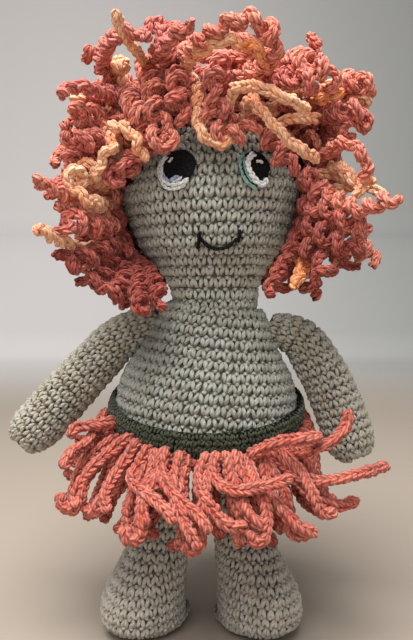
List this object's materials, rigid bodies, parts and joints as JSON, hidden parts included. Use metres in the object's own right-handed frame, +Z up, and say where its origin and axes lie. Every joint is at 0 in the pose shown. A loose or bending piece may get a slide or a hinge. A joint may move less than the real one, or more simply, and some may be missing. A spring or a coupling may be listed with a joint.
{
  "type": "amigurumi doll",
  "caption": "Stuffed crocheted doll with corkscrew cord hair, stitched eyes and smile, and a cord fringe skirt on a dark waistband; standing on flat soles.",
  "frame": {"origin": "on the floor under the middle of the doll's box", "axes": "+Z up, the doll faces -Y, +X is the doll's own left"},
  "size_m": [0.1849, 0.1509, 0.298],
  "materials": {
    "grey_beige_yarn": "matte",
    "coral_yarn": "matte",
    "peach_yarn": "matte",
    "olive_yarn": "matte",
    "black_yarn": "matte",
    "white_thread": "satin",
    "aqua_thread": "satin",
    "fibre_stuffing": "matte"
  },
  "bodies": {
    "torso": {"torso": "grey_beige_yarn", "torso_stuffing": "fibre_stuffing"},
    "neck": {"neck_stuffing": "fibre_stuffing"},
    "head": {"head": "grey_beige_yarn", "head_stuffing": "fibre_stuffing", "wig_cap": "coral_yarn", "smile": "black_yarn", "left_eye_aqua": "aqua_thread", "left_eye_glint": "white_thread", "left_eye_pupil": "black_yarn", "left_eye_white": "white_thread", "right_eye_glint": "white_thread", "right_eye_pupil": "black_yarn", "right_eye_white": "white_thread", "hair_crown_1": "coral_yarn", "hair_crown_2": "coral_yarn", "hair_lower_1": "coral_yarn", "hair_lower_2": "coral_yarn", "hair_lower_3": "peach_yarn", "hair_lower_4": "coral_yarn", "hair_middle_1": "peach_yarn", "hair_middle_2": "coral_yarn", "hair_middle_3": "coral_yarn", "hair_middle_4": "coral_yarn", "hair_middle_5": "coral_yarn", "hair_nape_1": "coral_yarn", "hair_nape_2": "coral_yarn", "hair_nape_3": "coral_yarn", "hair_top_1": "coral_yarn", "hair_top_2": "coral_yarn", "hair_top_3": "coral_yarn", "hair_top_4": "coral_yarn", "hair_upper_1": "peach_yarn", "hair_upper_2": "coral_yarn", "hair_upper_3": "coral_yarn", "hair_upper_4": "coral_yarn", "hair_upper_5": "coral_yarn"},
    "left_shoulder": {"left_shoulder_stitches": "grey_beige_yarn"},
    "right_shoulder": {"right_shoulder_stitches": "grey_beige_yarn"},
    "left_arm": {"left_arm": "grey_beige_yarn", "left_arm_stuffing": "fibre_stuffing"},
    "right_arm": {"right_arm": "grey_beige_yarn", "right_arm_stuffing": "fibre_stuffing"},
    "left_leg": {"left_leg": "grey_beige_yarn", "left_leg_stuffing": "fibre_stuffing"},
    "right_leg": {"right_leg": "grey_beige_yarn", "right_leg_stuffing": "fibre_stuffing"},
    "skirt": {"waistband": "olive_yarn", "fringe_01": "coral_yarn", "fringe_02": "coral_yarn", "fringe_03": "coral_yarn", "fringe_04": "coral_yarn", "fringe_05": "coral_yarn", "fringe_06": "coral_yarn", "fringe_07": "coral_yarn", "fringe_08": "coral_yarn", "fringe_09": "coral_yarn", "fringe_10": "coral_yarn", "fringe_11": "coral_yarn", "fringe_12": "coral_yarn"}
  },
  "joints": [
    {"name": "neck_turn", "type": "hinge", "parent": "torso", "child": "neck", "pos_m": [0.0088, -0.009, 0.15984], "axis": [0.0767, 0, 0.9971], "range_deg": [-30, 30], "stiffness_Nm_per_rad": 0.1},
    {"name": "head_nod", "type": "hinge", "parent": "neck", "child": "head", "pos_m": [0.0088, -0.009, 0.15984], "axis": [1, 0, 0], "range_deg": [-10, 10], "stiffness_Nm_per_rad": 0.35},
    {"name": "left_arm_swing", "type": "hinge", "parent": "torso", "child": "left_shoulder", "pos_m": [0.04055, -0.009, 0.14235], "axis": [0, 0, -1], "range_deg": [-20, 20], "stiffness_Nm_per_rad": 0.02},
    {"name": "left_arm_raise", "type": "hinge", "parent": "left_shoulder", "child": "left_arm", "pos_m": [0.04055, -0.009, 0.14235], "axis": [0, -1, 0], "range_deg": [0, 30], "stiffness_Nm_per_rad": 0.02},
    {"name": "right_arm_swing", "type": "hinge", "parent": "torso", "child": "right_shoulder", "pos_m": [-0.02526, -0.009, 0.14741], "axis": [0, 0, 1], "range_deg": [-20, 20], "stiffness_Nm_per_rad": 0.02},
    {"name": "right_arm_raise", "type": "hinge", "parent": "right_shoulder", "child": "right_arm", "pos_m": [-0.02526, -0.009, 0.14741], "axis": [0, 1, 0], "range_deg": [0, 25], "stiffness_Nm_per_rad": 0.02},
    {"name": "left_leg_swing", "type": "hinge", "parent": "torso", "child": "left_leg", "pos_m": [0.022, -0.009, 0.0765], "axis": [-1, 0, 0], "range_deg": [-15, 20], "stiffness_Nm_per_rad": 1.2},
    {"name": "right_leg_swing", "type": "hinge", "parent": "torso", "child": "right_leg", "pos_m": [-0.018, -0.009, 0.0765], "axis": [-1, 0, 0], "range_deg": [-15, 20], "stiffness_Nm_per_rad": 1.2},
    {"name": "skirt_turn", "type": "hinge", "parent": "torso", "child": "skirt", "pos_m": [0.0045, -0.009, 0.104], "axis": [0, -0.2164, 0.9763], "range_deg": [-12, 12]}
  ]
}
